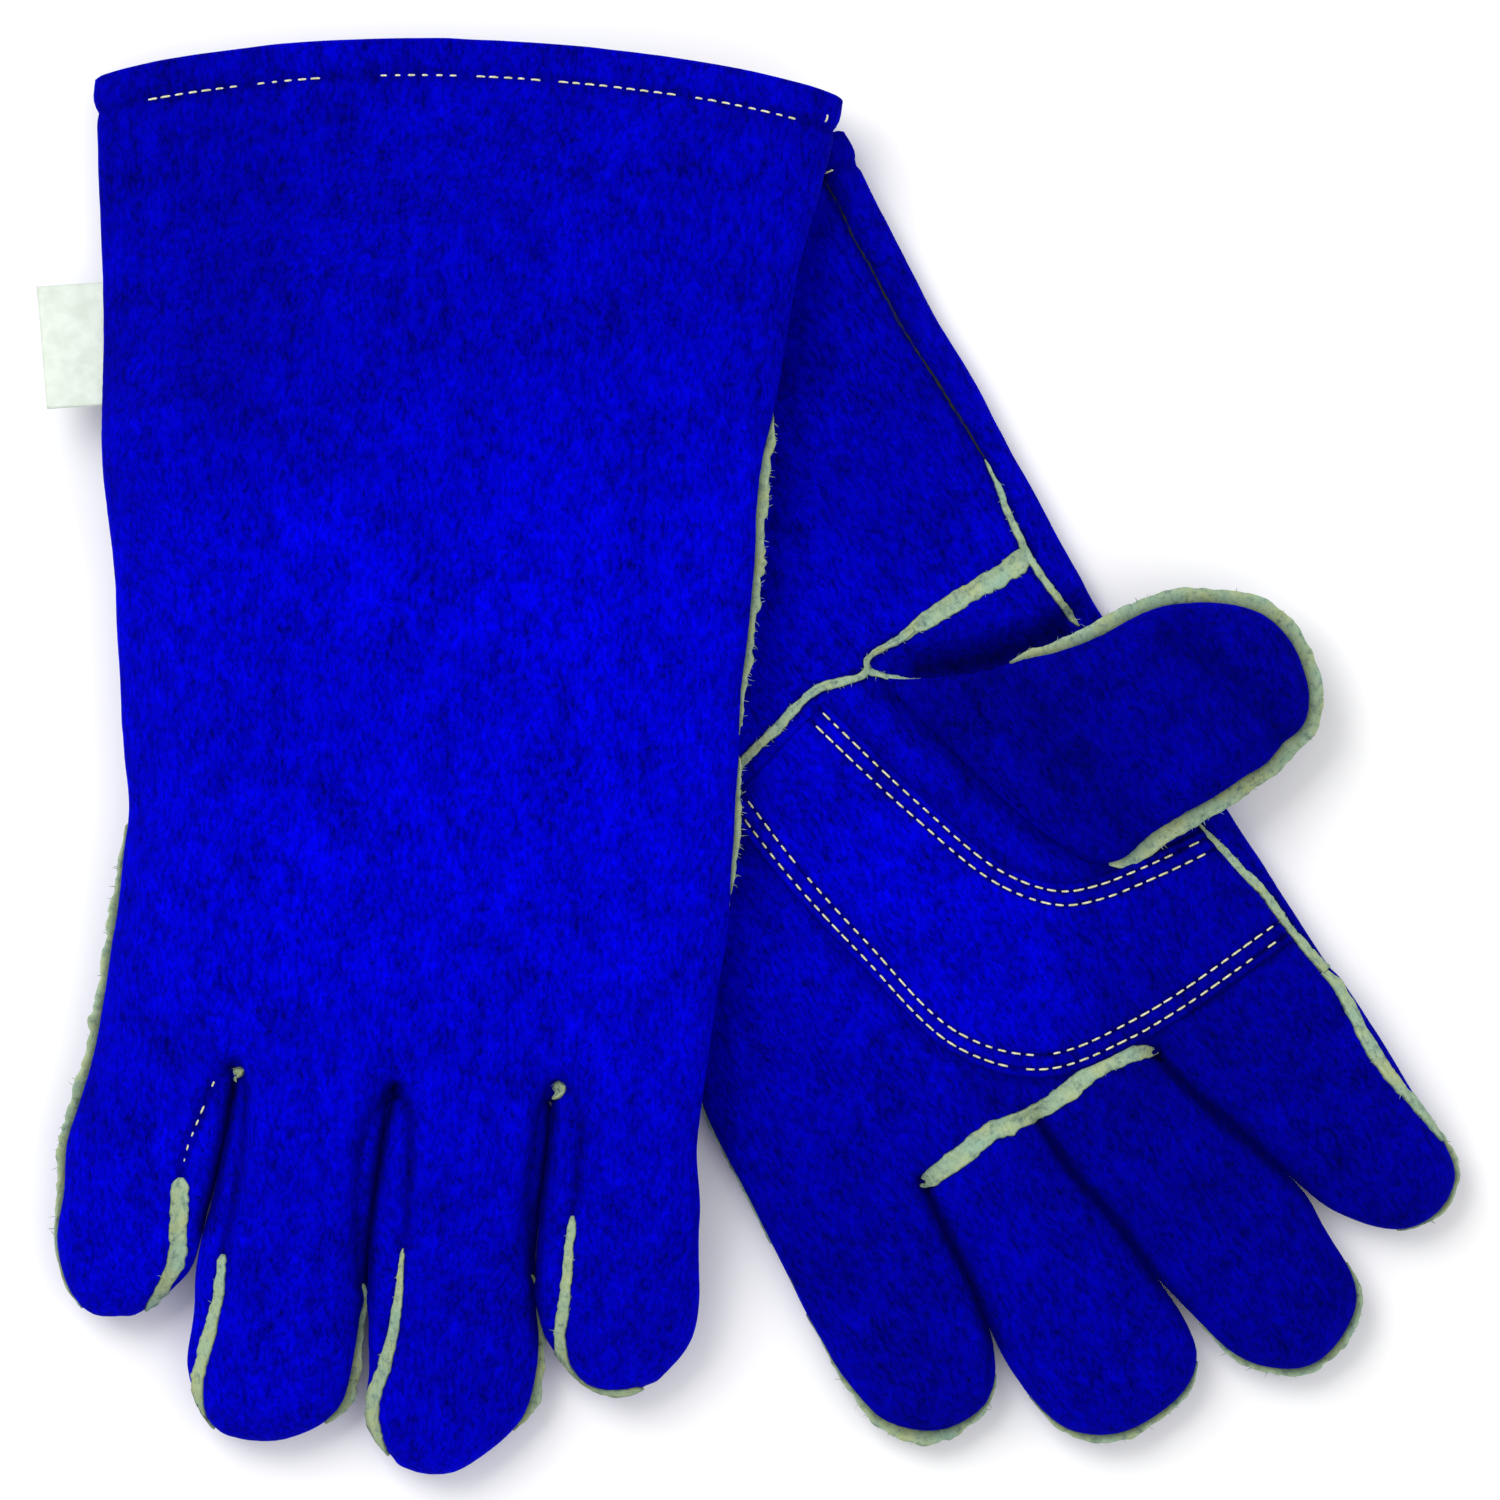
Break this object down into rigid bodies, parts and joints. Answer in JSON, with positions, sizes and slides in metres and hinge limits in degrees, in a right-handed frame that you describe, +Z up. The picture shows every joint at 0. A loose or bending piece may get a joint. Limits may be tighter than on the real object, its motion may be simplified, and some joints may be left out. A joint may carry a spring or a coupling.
{
  "type": "welding gloves",
  "caption": "Gauntlet welding gloves in split leather with welted seams, wing thumbs and flared cuffs, lying one across the other, with fingers and thumbs that curl.",
  "frame": {"origin": "centre of the pair's bounding box in plan, on the table top", "axes": "+Z up; +Y from the upper glove's fingertips towards its cuff; +X towards the lower glove's thumb"},
  "size_m": [0.3542, 0.3581, 0.034],
  "materials": {
    "split_leather": "napped suede, blue",
    "welt_leather": "raw cut split leather, pale",
    "cotton_lining": "brushed cotton fleece and canvas",
    "sewing_thread": "spun aramid thread",
    "woven_label": "woven satin tape, blank"
  },
  "bodies": {
    "left_hand": {"left_back_panel": "split_leather", "left_cuff_front_panel": "split_leather", "left_cuff_hem": "split_leather", "left_cuff_lining": "cotton_lining", "left_hand_lining": "cotton_lining", "left_palm_panel": "split_leather", "left_palm_patch": "split_leather", "left_seam_welts": "welt_leather", "left_thread": "sewing_thread"},
    "left_little": {"left_little_back": "split_leather", "left_little_front": "split_leather", "left_little_lining": "cotton_lining", "left_little_welt": "welt_leather"},
    "left_ring": {"left_ring_back": "split_leather", "left_ring_front": "split_leather", "left_ring_lining": "cotton_lining", "left_ring_welt": "welt_leather"},
    "left_middle": {"left_middle_back": "split_leather", "left_middle_front": "split_leather", "left_middle_lining": "cotton_lining", "left_middle_welt": "welt_leather"},
    "left_index": {"left_index_back": "split_leather", "left_index_front": "split_leather", "left_index_lining": "cotton_lining", "left_index_welt": "welt_leather"},
    "left_thumb": {"left_thumb_back": "split_leather", "left_thumb_front": "split_leather", "left_thumb_lining": "cotton_lining", "left_thumb_welt": "welt_leather"},
    "right_hand": {"right_back_panel": "split_leather", "right_cuff_front_panel": "split_leather", "right_cuff_hem": "split_leather", "right_cuff_lining": "cotton_lining", "right_hand_lining": "cotton_lining", "right_palm_panel": "split_leather", "right_palm_patch": "split_leather", "right_seam_welts": "welt_leather", "right_side_label": "woven_label", "right_thread": "sewing_thread"},
    "right_little": {"right_little_back": "split_leather", "right_little_front": "split_leather", "right_little_lining": "cotton_lining", "right_little_welt": "welt_leather"},
    "right_ring": {"right_ring_back": "split_leather", "right_ring_front": "split_leather", "right_ring_lining": "cotton_lining", "right_ring_welt": "welt_leather"},
    "right_middle": {"right_middle_back": "split_leather", "right_middle_front": "split_leather", "right_middle_lining": "cotton_lining", "right_middle_welt": "welt_leather"},
    "right_index": {"right_index_back": "split_leather", "right_index_front": "split_leather", "right_index_lining": "cotton_lining", "right_index_welt": "welt_leather"},
    "right_thumb": {"right_thumb_back": "split_leather", "right_thumb_front": "split_leather", "right_thumb_lining": "cotton_lining", "right_thumb_welt": "welt_leather"}
  },
  "joints": [
    {"name": "right_glove_lift", "type": "slide", "parent": "left_hand", "child": "right_hand", "axis": [0, 0, 1], "range_m": [0, 0.12]},
    {"name": "left_little_curl", "type": "hinge", "parent": "left_hand", "child": "left_little", "pos_m": [0.02383, -0.11726, 0.0173], "axis": [-0.8746, -0.4848, 0], "range_deg": [0, 75]},
    {"name": "left_ring_curl", "type": "hinge", "parent": "left_hand", "child": "left_ring", "pos_m": [0.05694, -0.09891, 0.01775], "axis": [-0.8746, -0.4848, 0], "range_deg": [0, 75]},
    {"name": "left_middle_curl", "type": "hinge", "parent": "left_hand", "child": "left_middle", "pos_m": [0.08585, -0.08289, 0.01775], "axis": [-0.8746, -0.4848, 0], "range_deg": [0, 75]},
    {"name": "left_index_curl", "type": "hinge", "parent": "left_hand", "child": "left_index", "pos_m": [0.12328, -0.06214, 0.01775], "axis": [-0.8746, -0.4848, 0], "range_deg": [0, 75]},
    {"name": "left_thumb_lift", "type": "hinge", "parent": "left_hand", "child": "left_thumb", "pos_m": [0.05949, -0.00317, 0.0145], "axis": [0.7394, -0.6733, 0], "range_deg": [0, 75]},
    {"name": "right_little_curl", "type": "hinge", "parent": "right_hand", "child": "right_little", "pos_m": [-0.1494, -0.0834, 0.00272], "axis": [0.9998, 0, 0.02], "range_deg": [0, 75]},
    {"name": "right_ring_curl", "type": "hinge", "parent": "right_hand", "child": "right_ring", "pos_m": [-0.10925, -0.0834, 0.01352], "axis": [0.9999, 0, 0.01], "range_deg": [0, 75]},
    {"name": "right_middle_curl", "type": "hinge", "parent": "right_hand", "child": "right_middle", "pos_m": [-0.06935, -0.0834, 0.01625], "axis": [1, 0, 0], "range_deg": [0, 75]},
    {"name": "right_index_curl", "type": "hinge", "parent": "right_hand", "child": "right_index", "pos_m": [-0.0304, -0.0834, 0.01625], "axis": [1, 0, 0], "range_deg": [0, 75]},
    {"name": "right_thumb_unfold", "type": "hinge", "parent": "right_hand", "child": "right_thumb", "pos_m": [-0.0874, -0.0094, 0.0129], "axis": [1, 0, 0], "range_deg": [0, 75]}
  ]
}
